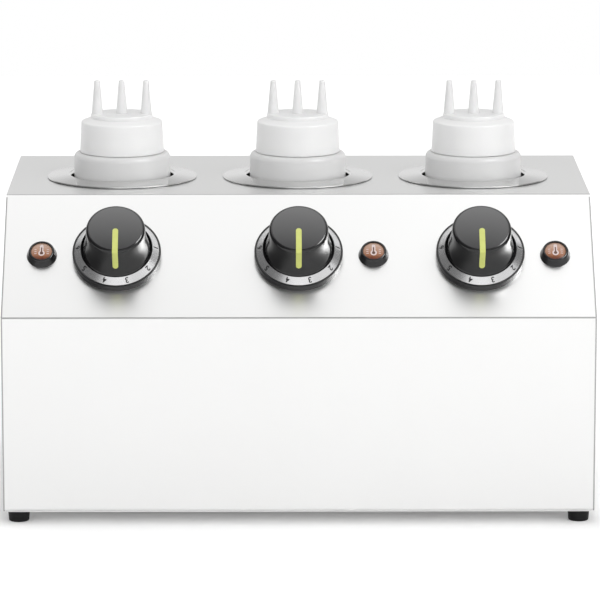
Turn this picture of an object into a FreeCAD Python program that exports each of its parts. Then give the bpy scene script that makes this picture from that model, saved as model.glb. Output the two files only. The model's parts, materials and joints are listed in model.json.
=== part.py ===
"""Countertop warmer that keeps three squeeze bottles of sauce hot in dry wells.

Millimetres, +Z up. X runs along the front from left to right and Y from the front to the back.
The origin is on the table, under the middle of the object. The three channels, each with its own
well, dial, lamp and bottle, are numbered from the left. Every separate piece of the object is
written to parts/NAME.step.
"""
import FreeCAD, Part
import math
import os
from FreeCAD import Placement, Rotation, Vector

# Casing: outside sizes of the folded steel body
body_width = 440.0
front_height = 147.0
slope_rise = 78.0
slope_run = 85.0
top_depth = 185.0
sheet = 1.0
seam = 0.3
hem_bend = 2.5
knee_bend = 1.5
brow_bend = 1.5
rear_bend = 2.5
side_bend = 1.6
hem_depth = 24.0
rear_lip = 16.0
flange_depth = 22.0
panel_inset = 1.2
panel_corner = 3.0

# Vent slots in the rear panel and the base plate
vent_width = 3.0
vent_length = 26.0
vent_pitch = 9.0
rear_vents = 14
rear_vent_drop = 46.0
base_vents = 5

# Rubber feet
foot_height = 8.2
foot_radius = 8.3
foot_taper = 0.8
foot_edge = 0.9
foot_inset_side = 11.0
foot_inset_front = 12.0
foot_inset_rear = 14.0
foot_recess_radius = 4.2
foot_recess_depth = 4.8

# Screws, nuts and their holes
hole_play = 0.15
screw_radius = 1.9
screw_head_radius = 3.5
screw_head_height = 2.0
screw_head_round = 0.8
screw_slot_width = 0.9
screw_slot_depth = 0.8
casing_screw_length = 6.0
foot_screw_length = 9.6
nut_width = 7.0
nut_height = 2.6
casing_screw_inset = 11.0
base_screw_spacing = 70.0
rear_screw_inset = 30.0
lip_screw_spacing = 180.0
lip_screw_drop = 9.0

# Bottle wells: each gap between two rims is a share of the width that the rims leave free
rim_gap_share = 0.2158
well_setback = 80.0
well_bore = 39.2
well_wall = 0.8
well_depth = 165.0
well_corner = 6.0
rim_radius = 57.5
rim_rise = 2.0
rim_lip_round = 1.6
gasket_thickness = 0.6
gasket_width = 6.0
gasket_inset = 1.0
well_hole_play = 0.5

# Clamp collars and band heaters round the wells
band_play = 0.2
collar_thickness = 1.5
collar_height = 8.0
heater_thickness = 3.0
heater_height = 50.0
heater_lift = 8.0
band_gap = 5.0
ear_length = 10.0
ear_thickness = 1.5
stud_radius = 1.5
stud_length = 7.0
stud_angle = 16.0
band_bolt_radius = 1.5
band_bolt_head = 2.8
band_bolt_head_height = 2.0

# Insulation jackets
jacket_play = 0.3
jacket_thickness = 12.0
jacket_slit = 34.0
jacket_top_gap = 6.0

# Thermal cut-outs under the wells
cutout_radius = 8.0
cutout_height = 6.5
cutout_flange_length = 26.0
cutout_flange_width = 9.0
cutout_flange_thickness = 1.2
tab_width = 6.3
tab_thickness = 0.8
tab_length = 8.0
tab_spacing = 8.0

# Thermostats behind the sloping panel
thermostat_width = 36.0
thermostat_length = 44.0
thermostat_depth = 26.0
bracket_length = 36.0
bracket_thickness = 1.5
bush_radius = 4.5
bush_proud = 1.4
thermostat_screw_offset = 14.0
thermostat_screw_length = 7.0
shaft_radius = 3.0
shaft_flat = 1.0
shaft_play = 0.08
shaft_sink = 9.0
shaft_reach = 19.0

# Sensor bulbs and capillary tubes
bulb_radius = 3.0
bulb_length = 60.0
bulb_lift = 84.0
bulb_gap = 0.3
capillary_radius = 0.8
capillary_loop = 18.0
capillary_drop = 16.0
capillary_bend = 8.0

# Dials fixed to the panel round the knobs
dial_radius = 33.0
dial_height = 5.2
dial_wall = 1.6
dial_hole = 9.0
dial_edge = 0.5
dial_ring_outer = 31.5
dial_ring_inner = 26.9
dial_ring_rise = 3.8
dial_ring_thickness = 0.6
dial_play = 0.1
peg_radius = 1.5
peg_offset = 23.0
peg_grip = 1.8

# Knobs
knob_gap = 0.5
knob_base_radius = 26.3
knob_lip_height = 2.4
knob_lip_round = 0.6
knob_neck_radius = 25.3
knob_neck_height = 3.8
knob_neck_round = 3.0
knob_waist_radius = 22.6
knob_waist_height = 14.0
knob_flare = 50.0
knob_top_radius = 21.8
knob_height = 28.5
knob_edge = 2.6
knob_crown = 0.7
knob_crown_round = 150.0
knob_crown_share = 0.5
knob_wall = 2.2
hub_radius = 6.0
rib_thickness = 1.6
ribs = 4
pointer_width = 4.2
pointer_start = 2.8
pointer_sink = 1.0
pointer_proud = 0.2
pointer_foot = 10.0

# Pilot lamps: each stands at a share of the way from its dial to the end of the casing
lamp_place_share = 0.4444
lamp_radius = 11.3
lamp_top_radius = 9.3
lamp_height = 6.0
lamp_edge = 1.4
lamp_barrel_radius = 6.5
lamp_barrel_wall = 1.1
lamp_barrel_length = 22.0
lens_radius = 8.0
lens_thickness = 2.4
lens_recess = 1.2
lens_edge = 0.4
lens_dome = 0.8
lens_dome_round = 36.0
lens_dome_share = 0.5
lens_stem = 5.0
lens_play = 0.05
lamp_nut_width = 17.0
lamp_nut_height = 3.0

# Squeeze bottles
bottle_radius = 36.9
bottle_height = 185.0
bottle_wall = 1.2
bottle_foot_round = 5.0
bottle_shoulder_round = 4.2
bottle_push_up = 2.0
bottle_push_up_inset = 9.0
bottle_rest_gap = 0.2
neck_radius = 26.6
neck_wall = 1.8
neck_height = 20.0
neck_lip_round = 0.6
thread_height = 1.3
thread_sink = 0.4
thread_root = 2.2
thread_crest = 1.0
thread_pitch = 5.0
thread_start = 10.2
neck_thread_turns = 1.5
cap_thread_turns = 1.0

# Screw caps with three nozzles
cap_gap = 0.4
cap_base_radius = 32.4
cap_top_radius = 31.2
cap_side_height = 23.2
cap_edge = 1.2
cap_skirt_bore = 30.3
cap_skirt_relief = 5.0
cap_bore = 28.6
cap_roof = 1.7
cap_shoulder_rise = 2.9
plateau_radius = 23.75
plateau_rise = 3.0
plateau_edge = 0.7
nozzle_spacing = 18.8
nozzle_length = 25.5
nozzle_root_radius = 4.4
nozzle_tip_radius = 2.2
nozzle_tip_round = 0.8
nozzle_bore_root = 3.1
nozzle_bore_tip = 1.1

# Sealing washers inside the caps
seal_thickness = 1.2
seal_outer = 28.2
seal_inner = 23.2
seal_gap = 0.12

# Cable gland in the rear panel
gland_inset = 70.0
gland_rise = 34.0
gland_bore = 3.9
gland_stub_radius = 7.8
gland_stub_length = 11.0
gland_hex_width = 22.0
gland_hex_height = 5.0
gland_waist_radius = 9.6
gland_waist_height = 3.0
gland_cap_width = 20.0
gland_cap_height = 9.0
gland_dome_radius = 6.4
gland_dome_height = 5.0
locknut_height = 4.0

# Terminal block and earth stud
block_length = 42.0
block_width = 20.0
block_height = 15.0
block_step = 4.0
block_step_width = 6.0
block_ways = 3
block_screw_radius = 2.6
block_screw_depth = 3.0
block_wire_radius = 2.2
block_wire_depth = 6.0
block_setback = 48.0
block_offset = 40.0
earth_offset = 90.0
earth_length = 14.0
earth_head_radius = 5.0
earth_head_height = 1.5

# Cuts run past the faces they go through by this much, and points nearer than the
# tolerance are one point
overrun = 1.0
tolerance = 0.000001

# Places worked out from the sizes above
gland_reach = gland_hex_height + gland_waist_height + gland_cap_height + gland_dome_height
body_depth = slope_run + top_depth
front_y = -(body_depth + gland_reach) / 2
rear_y = front_y + body_depth
half_width = body_width / 2
base_z = foot_height + sheet
knee_z = base_z + front_height
top_z = knee_z + slope_rise
slope_angle = math.degrees(math.atan2(slope_rise, slope_run))
channels = (1, 2, 3)
spare_width = body_width - 2 * len(channels) * rim_radius
channel_spacing = 2 * rim_radius + rim_gap_share * spare_width
channel_x = (-channel_spacing, 0.0, channel_spacing)
end_margin = half_width - channel_spacing
lamp_offset = dial_radius + lamp_place_share * (end_margin - dial_radius)
lamp_x = (channel_x[0] - lamp_offset, channel_x[1] + lamp_offset, channel_x[2] + lamp_offset)
well_y = front_y + slope_run + well_setback
well_floor_z = top_z - well_depth
well_outer = well_bore + well_wall
rim_slope = rim_rise / (rim_radius - well_bore)
heater_z = well_floor_z + heater_lift
collar_z = top_z - sheet - collar_height
band_bore = well_outer + band_play
jacket_bore = band_bore + heater_thickness + jacket_play
bottle_z = well_floor_z + bottle_rest_gap
cap_z = bottle_z + bottle_height + cap_gap
cap_ceiling = neck_height - cap_gap + seal_gap + seal_thickness + seal_gap
knob_floor = dial_height + knob_gap
gland_x = half_width - gland_inset
X_AXIS = Vector(1, 0, 0)
Y_AXIS = Vector(0, 1, 0)
Z_AXIS = Vector(0, 0, 1)


def unit(vector):
    return Vector(vector).normalize()


def bend_edges(points, radii, closed=True):
    """Straight edges through the points, joined by tangent arcs of the given radii."""
    count = len(points)
    entries, exits, middles = [], [], []
    for index, corner in enumerate(points):
        is_end = not closed and index in (0, count - 1)
        if is_end or radii[index] == 0:
            entries.append(corner)
            exits.append(corner)
            middles.append(None)
            continue
        back = unit(points[index - 1] - corner)
        ahead = unit(points[(index + 1) % count] - corner)
        half_angle = back.getAngle(ahead) / 2
        reach = radii[index] / math.tan(half_angle)
        bisector = unit(back + ahead)
        centre = corner + bisector * (radii[index] / math.sin(half_angle))
        entries.append(corner + back * reach)
        exits.append(corner + ahead * reach)
        middles.append(centre - bisector * radii[index])
    edges = []
    for index in range(count):
        if middles[index] is not None:
            edges.append(Part.Arc(entries[index], middles[index], exits[index]).toShape())
        if closed or index < count - 1:
            following = entries[(index + 1) % count]
            if exits[index].distanceToPoint(following) > tolerance:
                edges.append(Part.makeLine(exits[index], following))
    return edges


def outline_face(edges):
    return Part.Face(Part.Wire(Part.__sortEdges__(edges)))


def turned(profile):
    """Solid turned about Z from a closed profile of (radius, height, corner radius)."""
    points = [Vector(radius, 0, height) for radius, height, corner in profile]
    corners = [corner for radius, height, corner in profile]
    return outline_face(bend_edges(points, corners)).revolve(Vector(), Z_AXIS, 360)


def cylinder(radius, height, base=Vector(), axis=Z_AXIS):
    return Part.makeCylinder(radius, height, base, axis)


def tube(outer, inner, height, base=Vector(), axis=Z_AXIS):
    bore = cylinder(inner, height + 2 * overrun, base - axis * overrun, axis)
    return cylinder(outer, height, base, axis).cut(bore)


def box(low, high):
    return Part.makeBox(high.x - low.x, high.y - low.y, high.z - low.z, low)


def hexagon(width, height, base=Vector(), axis=Z_AXIS):
    """Hexagonal bar: width is across its flats."""
    radius = width / math.sqrt(3)
    corners = [Vector(radius * math.cos(turn), radius * math.sin(turn), 0)
               for turn in (math.radians(60 * step) for step in range(7))]
    bar = Part.Face(Part.makePolygon(corners)).extrude(Z_AXIS * height)
    bar.Placement = Placement(base, Rotation(Z_AXIS, axis))
    return bar


def rod(points, radius, bend):
    """Round rod or tube along straight runs that tangent arcs join."""
    edges = bend_edges(points, [bend] * len(points), closed=False)
    start = Part.makeCircle(radius, points[0], points[1] - points[0])
    return Part.Wire(Part.__sortEdges__(edges)).makePipeShell([Part.Wire(start)], True, False)


def slot_cutter(centre, length, width, along, through, depth):
    """Round-ended bar that cuts a slot: its length lies along one way, its depth another."""
    half = along * ((length - width) / 2)
    start = centre - through * (depth / 2)
    side = through.cross(along) * (width / 2)
    corners = [start - half - side, start + half - side, start + half + side, start - half + side]
    bar = Part.Face(Part.makePolygon(corners + corners[:1])).extrude(through * depth)
    ends = [cylinder(width / 2, depth, start + offset, through) for offset in (half, -half)]
    return bar.multiFuse(ends).removeSplitter()


def group(shapes):
    return Part.makeCompound(shapes)


def on_slope(shape, x):
    """Put a shape made round its own Z axis on the sloping panel, half way up."""
    turn = Rotation(X_AXIS, slope_angle)
    half_way = Vector(x, front_y + slope_run / 2, knee_z + slope_rise / 2)
    placed = shape.copy()
    placed.Placement = Placement(half_way, turn).multiply(placed.Placement)
    return placed


def export(name, shape):
    shape.exportStep(os.path.join("parts", name + ".step"))


# Fasteners

def screw(length, base, axis, head_radius=screw_head_radius):
    """Slotted pan-head screw whose head sits on the base point, its shank against the axis."""
    head = turned([(0, 0, 0), (head_radius, 0, 0),
                   (head_radius, screw_head_height, screw_head_round), (0, screw_head_height, 0)])
    slot = box(Vector(-head_radius - overrun, -screw_slot_width / 2,
                        screw_head_height - screw_slot_depth),
                 Vector(head_radius + overrun, screw_slot_width / 2, screw_head_height + overrun))
    shape = head.cut(slot).fuse(cylinder(screw_radius, length, Vector(0, 0, -length)))
    shape = shape.removeSplitter()
    shape.Placement = Placement(base, Rotation(Z_AXIS, axis))
    return shape


def screw_hole(point, axis):
    radius = screw_radius + hole_play
    return cylinder(radius, 4 * sheet, point - axis * (2 * sheet), axis)


def foot_points():
    """Centres of the four feet on the table."""
    x = half_width - foot_inset_side
    return [Vector(side * x, y, 0) for side in (-1, 1)
            for y in (front_y + foot_inset_front, rear_y - foot_inset_rear)]


def base_screw_points():
    middle_y = (front_y + rear_y) / 2
    return [Vector(side * (half_width - casing_screw_inset), middle_y + row * base_screw_spacing,
                   foot_height) for side in (-1, 1) for row in (-1, 0, 1)]


def rear_screw_points():
    low = base_z + rear_screw_inset
    high = top_z - rear_lip - rear_screw_inset
    heights = (low, (low + high) / 2, high)
    sides = [Vector(side * (half_width - casing_screw_inset), rear_y, z)
             for side in (-1, 1) for z in heights]
    lip = [Vector(row * lip_screw_spacing, rear_y, top_z - lip_screw_drop) for row in (-1, 0, 1)]
    return sides + lip


# Casing

def inward(points, index, axis, distance):
    """Corner of a line set off to its inner side, which is the way to the axis from its run."""
    sides = []
    if index > 0:
        sides.append(unit(points[index] - points[index - 1]).cross(axis))
    if index < len(points) - 1:
        sides.append(unit(points[index + 1] - points[index]).cross(axis))
    if len(sides) == 1:
        return points[index] + sides[0] * distance
    return points[index] + (sides[0] + sides[1]) * (distance / (1 + sides[0].dot(sides[1])))


def folded_sheet(points, bends, axis, length):
    """Steel sheet folded along its outer line and drawn out along the axis."""
    inner = [inward(points, index, axis, sheet) for index in range(len(points))]
    inner_bends = [max(bend - sheet, 0) for bend in bends]
    edges = bend_edges(points, bends, False) + bend_edges(inner, inner_bends, False)
    edges += [Part.makeLine(points[0], inner[0]), Part.makeLine(points[-1], inner[-1])]
    return outline_face(edges).extrude(axis * length)


def casing_line(x):
    """Outer line of the wrap panel's section, from the hem under the front to the rear lip."""
    lip_y = rear_y - sheet
    return [Vector(x, front_y + hem_depth, base_z), Vector(x, front_y, base_z),
            Vector(x, front_y, knee_z), Vector(x, front_y + slope_run, top_z),
            Vector(x, lip_y, top_z), Vector(x, lip_y, top_z - rear_lip)]


def wrap_panel():
    """Hem, front, slope, top and rear lip, folded from one sheet."""
    bends = (0, hem_bend, knee_bend, brow_bend, rear_bend, 0)
    panel = folded_sheet(casing_line(-half_width), bends, X_AXIS, body_width)
    holes = []
    for x in channel_x:
        holes.append(cylinder(well_outer + well_hole_play, 4 * sheet,
                              Vector(x, well_y, top_z - 2 * sheet)))
        holes.append(on_slope(dial_holes(), x))
    for x in lamp_x:
        hole = cylinder(lamp_barrel_radius + hole_play, 4 * sheet, Vector(0, 0, -2 * sheet))
        holes.append(on_slope(hole, x))
    holes += [screw_hole(point + Z_AXIS * base_z, Z_AXIS) for point in foot_points()]
    holes += [screw_hole(point - Y_AXIS * sheet, Y_AXIS) for point in rear_screw_points()]
    return panel.cut(group(holes))


def dial_holes():
    """Holes for a thermostat's bush and screws and for a dial's pegs, round the dial's centre."""
    sunk = Vector(0, 0, -2 * sheet)
    holes = [cylinder(bush_radius + hole_play, 4 * sheet, sunk)]
    for side in (-1, 1):
        holes.append(screw_hole(Vector(0, side * thermostat_screw_offset, 0), Z_AXIS))
        holes.append(cylinder(peg_radius + hole_play, 4 * sheet,
                              sunk + X_AXIS * (side * peg_offset)))
    return group(holes)


def side_limit():
    """Block that the left side keeps to, clear of the wrap panel's inner faces."""
    line = casing_line(-half_width - overrun)
    clear = [inward(line, index, X_AXIS, sheet + seam) for index in range(len(line))]
    past_hem = clear[0] + Y_AXIS * seam
    past_lip = clear[-1] - Z_AXIS * seam
    under = base_z - overrun
    corners = [Vector(past_hem.x, past_hem.y, under), past_hem] + clear[1:-1]
    corners += [past_lip, Vector(past_lip.x, rear_y, past_lip.z),
                Vector(past_lip.x, rear_y, under)]
    bends = (0, 0, hem_bend, 0, 0, rear_bend, 0, 0, 0)
    return outline_face(bend_edges(corners, bends)).extrude(X_AXIS * half_width)


def side_panel():
    """Left side with a rear flange and a bottom flange, under the edges of the wrap panel."""
    front = front_y + sheet + seam
    low = base_z + side_bend
    corner = Vector(-half_width, rear_y - sheet, low)
    wall = folded_sheet([Vector(-half_width, front, low), corner, corner + X_AXIS * flange_depth],
                        (0, side_bend, 0), Z_AXIS, top_z - low)
    corner = Vector(-half_width, front, base_z)
    foot = folded_sheet([corner + Z_AXIS * (2 * side_bend), corner, corner + X_AXIS * flange_depth],
                        (0, side_bend, 0), Y_AXIS, rear_y - sheet - side_bend - front)
    hem_relief = box(Vector(-half_width + sheet, front - overrun, base_z - overrun),
                     Vector(0, front_y + hem_depth + seam, base_z + sheet + seam))
    rear_relief = box(Vector(-half_width + 2 * side_bend, rear_y - 3 * sheet, base_z - overrun),
                      Vector(0, rear_y, low))
    panel = wall.fuse(foot.cut(hem_relief)).cut(rear_relief)
    panel = panel.common(side_limit()).removeSplitter()
    holes = [screw_hole(point + Z_AXIS * base_z, Z_AXIS) for point in foot_points()]
    holes += [screw_hole(point + Z_AXIS * sheet, Z_AXIS) for point in base_screw_points()]
    holes += [screw_hole(point - Y_AXIS * sheet, Y_AXIS) for point in rear_screw_points()]
    return panel.cut(group(holes))


def rear_panel():
    """Flat cover screwed on the flanges, with vents near its top and the gland's hole."""
    low = Vector(-half_width + panel_inset, rear_y - sheet, base_z + panel_inset)
    high = Vector(half_width - panel_inset, rear_y, top_z - rear_bend)
    plate = box(low, high)
    corners = [edge for edge in plate.Edges
               if abs(edge.tangentAt(edge.FirstParameter).y) > 1 - tolerance]
    plate = plate.makeFillet(panel_corner, corners)
    cuts = [screw_hole(point, Y_AXIS) for point in rear_screw_points()]
    for index in range(rear_vents):
        x = (index - (rear_vents - 1) / 2) * vent_pitch
        centre = Vector(x, rear_y, top_z - rear_vent_drop)
        cuts.append(slot_cutter(centre, vent_length, vent_width, Z_AXIS, Y_AXIS, 4 * sheet))
    cuts.append(cylinder(gland_stub_radius + hole_play, 4 * sheet,
                         Vector(gland_x, rear_y - 2 * sheet, base_z + gland_rise), Y_AXIS))
    return plate.cut(group(cuts))


def base_plate():
    """Flat bottom cover with vents under each well and holes for the feet."""
    plate = box(Vector(-half_width + panel_inset, front_y + panel_inset + hem_bend, foot_height),
                  Vector(half_width - panel_inset, rear_y - panel_inset, base_z))
    corners = [edge for edge in plate.Edges
               if abs(edge.tangentAt(edge.FirstParameter).z) > 1 - tolerance]
    plate = plate.makeFillet(panel_corner, corners)
    cuts = [screw_hole(point, Z_AXIS) for point in base_screw_points()]
    cuts += [screw_hole(point + Z_AXIS * foot_height, Z_AXIS) for point in foot_points()]
    cuts.append(screw_hole(Vector(gland_x - earth_offset, rear_y - block_setback, base_z),
                           Z_AXIS))
    for x in channel_x:
        for index in range(base_vents):
            offset = (index - (base_vents - 1) / 2) * vent_pitch
            cuts.append(slot_cutter(Vector(x + offset, well_y, base_z), vent_length, vent_width,
                                    Y_AXIS, Z_AXIS, 4 * sheet))
    return plate.cut(group(cuts))


def foot(point):
    """Tapered rubber foot with a recess for its screw's head."""
    body = turned([(0, 0, 0), (foot_radius - foot_taper, 0, foot_edge),
                   (foot_radius, foot_height, 0), (0, foot_height, 0)])
    recess = cylinder(foot_recess_radius, foot_recess_depth + overrun, Z_AXIS * -overrun)
    hole = cylinder(screw_radius + hole_play, foot_height + overrun)
    return body.cut(recess).cut(hole).translate(point)


def foot_screw(point):
    return screw(foot_screw_length, point + Z_AXIS * foot_recess_depth, -Z_AXIS)


def foot_nut(point):
    seat = base_z + sheet
    nut = hexagon(nut_width, nut_height, point + Z_AXIS * seat)
    return nut.cut(cylinder(screw_radius, 2 * nut_height, point + Z_AXIS * (seat - overrun)))


# Wells and heating

def well(x):
    """Deep drawn cup whose cone-shaped rim stands on a gasket on the top of the casing."""
    rim_z = gasket_thickness
    under_z = rim_z + (rim_radius - well_outer) * rim_slope
    over_z = rim_z + well_wall + (rim_radius - well_bore) * rim_slope
    floor = -well_depth
    cup = turned([(0, floor - well_wall, 0),
                  (well_outer, floor - well_wall, well_corner + well_wall),
                  (well_outer, under_z, rim_lip_round),
                  (rim_radius, rim_z, 0),
                  (rim_radius, rim_z + well_wall, 0),
                  (well_bore, over_z, rim_lip_round + well_wall),
                  (well_bore, floor, well_corner),
                  (0, floor, 0)])
    return cup.translate(Vector(x, well_y, top_z))


def well_gasket(x):
    """Flat ring under the rim, its top face following the rim's cone."""
    outer = rim_radius - gasket_inset
    inner = outer - gasket_width
    ring = turned([(inner, 0, 0), (outer, 0, 0),
                   (outer, gasket_thickness + (rim_radius - outer) * rim_slope, 0),
                   (inner, gasket_thickness + (rim_radius - inner) * rim_slope, 0)])
    return ring.translate(Vector(x, well_y, top_z))


def clamp_band(thickness, height):
    """Split band round the well with two ears in front, its base at height zero."""
    outer = band_bore + thickness
    band = tube(outer, band_bore, height)
    gap = box(Vector(-band_gap / 2, -outer - overrun, -overrun),
                Vector(band_gap / 2, 0, height + overrun))
    ears = []
    for side in (-1, 1):
        near = side * band_gap / 2
        far = near + side * ear_thickness
        ears.append(box(Vector(min(near, far), -outer - ear_length, 0),
                          Vector(max(near, far), -band_bore - thickness / 2, height)))
    bolt = Vector(-band_gap, -outer - ear_length / 2, height / 2)
    hole = cylinder(band_bolt_radius, 2 * band_gap, bolt, X_AXIS)
    return band.cut(gap).multiFuse(ears).cut(hole).removeSplitter()


def band_bolt(x, thickness, height, z):
    """Bolt that draws a band's two ears together."""
    half = band_gap / 2 + ear_thickness
    y = well_y - band_bore - thickness - ear_length / 2
    centre = Vector(x, y, z + height / 2)
    shank = cylinder(band_bolt_radius, 2 * half, centre - X_AXIS * half, X_AXIS)
    heads = [cylinder(band_bolt_head, band_bolt_head_height, centre + X_AXIS * half, X_AXIS),
             hexagon(2 * band_bolt_head, band_bolt_head_height, centre - X_AXIS * half, -X_AXIS)]
    return shank.multiFuse(heads).removeSplitter()


def well_collar(x):
    """Band clamped on the well under the top, which holds the rim down on its gasket."""
    return clamp_band(collar_thickness, collar_height).translate(Vector(x, well_y, collar_z))


def band_heater(x):
    """Band heater with two terminal studs beside its ears."""
    heater = clamp_band(heater_thickness, heater_height)
    studs = []
    for side in (-1, 1):
        turn = math.radians(side * stud_angle)
        outward = Vector(math.sin(turn), -math.cos(turn), 0)
        start = outward * (band_bore + heater_thickness / 2) + Z_AXIS * (heater_height / 2)
        studs.append(cylinder(stud_radius, stud_length + heater_thickness / 2, start, outward))
    return heater.multiFuse(studs).removeSplitter().translate(Vector(x, well_y, heater_z))


def insulation_jacket(x):
    """Glass wool jacket round the heater, slit in front for the ears and the sensor."""
    height = collar_z - jacket_top_gap - well_floor_z
    outer = jacket_bore + jacket_thickness
    slit = box(Vector(-jacket_slit / 2, -outer - overrun, -overrun),
                 Vector(jacket_slit / 2, 0, height + overrun))
    jacket = tube(outer, jacket_bore, height).cut(slit)
    return jacket.translate(Vector(x, well_y, well_floor_z))


def thermal_cutout(x):
    """Snap-disc cut-out held against the underside of the well, with two blade terminals."""
    flange = box(Vector(-cutout_flange_length / 2, -cutout_flange_width / 2,
                          -cutout_flange_thickness),
                   Vector(cutout_flange_length / 2, cutout_flange_width / 2, 0))
    can = cylinder(cutout_radius, cutout_height, Z_AXIS * -cutout_height)
    tabs = []
    for side in (-1, 1):
        middle = side * tab_spacing / 2
        tabs.append(box(Vector(middle - tab_thickness / 2, -tab_width / 2,
                                 -cutout_height - tab_length),
                          Vector(middle + tab_thickness / 2, tab_width / 2, -cutout_height)))
    cutout = flange.multiFuse([can] + tabs).removeSplitter()
    return cutout.translate(Vector(x, well_y, well_floor_z - well_wall))


# Thermostats

def thermostat():
    """Capillary thermostat: a bracket against the panel, a bush through it and a body behind."""
    under = -sheet - bracket_thickness
    half_bracket = bracket_length / 2
    bracket = box(Vector(-half_bracket, -half_bracket, under),
                    Vector(half_bracket, half_bracket, -sheet))
    body = box(Vector(-thermostat_width / 2, -thermostat_length / 2, under - thermostat_depth),
                 Vector(thermostat_width / 2, thermostat_length / 2, under))
    bush = cylinder(bush_radius, sheet + bush_proud, Z_AXIS * -sheet)
    bore = cylinder(shaft_radius + shaft_play, shaft_sink + bracket_thickness + 2 * sheet + bush_proud,
                    Z_AXIS * (under - shaft_sink))
    holes = [cylinder(screw_radius, thermostat_screw_length,
                      Vector(0, side * thermostat_screw_offset, -thermostat_screw_length))
             for side in (-1, 1)]
    tabs = []
    for side in (-1, 1):
        middle = side * thermostat_width / 3
        tabs.append(box(Vector(middle - tab_thickness / 2, -tab_width / 2,
                                 under - thermostat_depth - tab_length),
                          Vector(middle + tab_thickness / 2, tab_width / 2,
                                 under - thermostat_depth)))
    solid = bracket.multiFuse([body, bush] + tabs).cut(group([bore] + holes))
    return solid.removeSplitter()


def d_section(radius, height, start):
    """Round bar with one flat, on the side away from the pointer."""
    bar = cylinder(radius, height, Z_AXIS * start)
    flat = box(Vector(-radius - overrun, radius - shaft_flat, start - overrun),
               Vector(radius + overrun, radius + overrun, start + height + overrun))
    return bar.cut(flat)


def thermostat_shaft():
    """Shaft from inside the thermostat to inside the knob, with a flat for the knob's hub."""
    flat_start = bush_proud + knob_gap
    bottom = -sheet - bracket_thickness - shaft_sink + seam
    round_part = cylinder(shaft_radius, flat_start - bottom, Z_AXIS * bottom)
    return round_part.fuse(d_section(shaft_radius, shaft_reach - flat_start, flat_start))


def thermostat_screws():
    return [on_slope(screw(thermostat_screw_length, Vector(0, side * thermostat_screw_offset, 0),
                           Z_AXIS), x) for x in channel_x for side in (-1, 1)]


def capillary(x):
    """Sensor bulb on the well's wall and the thin tube that joins it to the thermostat."""
    bulb_y = well_y - well_outer - bulb_gap - bulb_radius
    bulb_z = well_floor_z + bulb_lift
    depth = sheet + bracket_thickness + thermostat_depth
    angle = math.radians(slope_angle)
    inside = Vector(0, math.sin(angle), -math.cos(angle))
    start = Vector(x, front_y + slope_run / 2, knee_z + slope_rise / 2) + inside * depth
    drop_y = bulb_y - capillary_loop
    knee = start + inside * ((drop_y - start.y) / inside.y)
    low_z = bulb_z - capillary_drop
    points = [start, knee, Vector(x, drop_y, low_z), Vector(x, bulb_y, low_z),
              Vector(x, bulb_y, bulb_z)]
    thin = rod(points, capillary_radius, capillary_bend)
    bulb = cylinder(bulb_radius, bulb_length, Vector(x, bulb_y, bulb_z))
    return bulb.fuse(thin)


# Dials, knobs and lamps

def dial_base():
    """Black dish with a sloping seat for its metal ring and two pegs that snap into the panel."""
    deck = dial_height
    seat = deck - dial_ring_thickness
    under = seat - dial_wall
    seat_outer = dial_ring_outer + dial_play
    seat_inner = dial_ring_inner - dial_play
    disc = turned([(dial_radius, 0, 0), (dial_radius, deck, dial_edge), (seat_outer, deck, 0),
                   (seat_outer, seat, 0), (dial_ring_outer, seat, 0),
                   (dial_ring_inner, seat + dial_ring_rise, 0),
                   (seat_inner, seat + dial_ring_rise, 0), (seat_inner, deck, 0),
                   (dial_hole, deck, 0), (dial_hole, under, 0),
                   (dial_radius - dial_wall, under, 0), (dial_radius - dial_wall, 0, 0)])
    pegs = [cylinder(peg_radius, under + sheet + peg_grip,
                     Vector(side * peg_offset, 0, -sheet - peg_grip)) for side in (-1, 1)]
    return disc.multiFuse(pegs).removeSplitter()


def dial_ring():
    """Metal ring whose face slopes down from the knob to the dial's edge."""
    high = dial_height + dial_ring_rise
    return turned([(dial_ring_outer, dial_height - dial_ring_thickness, 0),
                   (dial_ring_outer, dial_height, 0), (dial_ring_inner, high, 0),
                   (dial_ring_inner, high - dial_ring_thickness, 0)])


def knob_body(grow):
    """Bell-shaped body of the knob with a low crown, or the same shape a little larger or smaller."""
    return turned([(0, 0, 0), (knob_base_radius + grow, 0, 0),
                   (knob_base_radius + grow, knob_lip_height, knob_lip_round),
                   (knob_neck_radius + grow, knob_neck_height, knob_neck_round),
                   (knob_waist_radius + grow, knob_waist_height, knob_flare),
                   (knob_top_radius + grow, knob_height - knob_crown + grow, knob_edge),
                   (knob_top_radius * knob_crown_share, knob_height + grow, knob_crown_round),
                   (0, knob_height + grow, 0)])


def pointer_path(reach):
    """Round-ended block from near the knob's axis over its front and down to the pointer's foot."""
    half = pointer_width / 2
    top = knob_height + reach
    edge = knob_base_radius + reach
    start = cylinder(half, top - pointer_foot, Vector(0, -pointer_start, pointer_foot))
    bar = box(Vector(-half, -edge, pointer_foot + half), Vector(half, -pointer_start, top))
    end = cylinder(half, edge, Vector(0, 0, pointer_foot + half), -Y_AXIS)
    return start.multiFuse([bar, end]).removeSplitter()


def knob_pointer():
    skin = knob_body(pointer_proud).cut(knob_body(-pointer_sink))
    return skin.common(pointer_path(overrun)).translate(Z_AXIS * knob_floor)


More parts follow.
